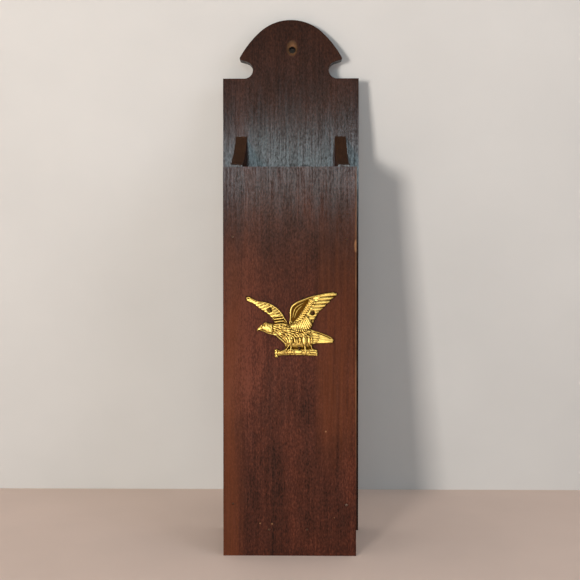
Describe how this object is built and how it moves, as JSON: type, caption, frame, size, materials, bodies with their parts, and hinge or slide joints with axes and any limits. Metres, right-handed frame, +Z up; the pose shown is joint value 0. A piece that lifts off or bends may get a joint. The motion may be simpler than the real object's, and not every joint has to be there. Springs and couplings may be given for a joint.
{
  "type": "wall match holder",
  "caption": "Tall open-topped wooden box for long matches, on a backboard with a rounded crown, side notches and a hanging hole, with a brass eagle on its front.",
  "frame": {"origin": "under the middle of the whole object's box, on the surface that its boards stand on", "axes": "+Z up along the boards, -Y towards the viewer of the brass ornament, +Y towards the wall, +X to the right seen from the front"},
  "size_m": [0.0966, 0.0702, 0.3648],
  "materials": {
    "wood": "dark mahogany-brown stain under worn satin varnish",
    "brass": "pressed sheet brass, polished on its high places",
    "pin": "darkened domed heads",
    "brad": "dull steel wire"
  },
  "bodies": {
    "root": {"back_board": "wood", "back_brad_left_lower": "brad", "back_brad_left_middle": "brad", "back_brad_left_upper": "brad", "back_brad_right_lower": "brad", "back_brad_right_middle": "brad", "back_brad_right_upper": "brad", "bottom_board": "wood", "bottom_brad_back_left": "brad", "bottom_brad_back_right": "brad", "bottom_brad_front_left": "brad", "bottom_brad_front_right": "brad", "bottom_brad_left_front": "brad", "bottom_brad_left_rear": "brad", "bottom_brad_right_front": "brad", "bottom_brad_right_rear": "brad", "brass_eagle": "brass", "eagle_pin_left": "pin", "eagle_pin_lower": "pin", "eagle_pin_right": "pin", "front_board": "wood", "front_brad_left_lower": "brad", "front_brad_left_upper": "brad", "front_brad_right_lower": "brad", "front_brad_right_upper": "brad", "left_side": "wood", "right_side": "wood"}
  },
  "joints": []
}
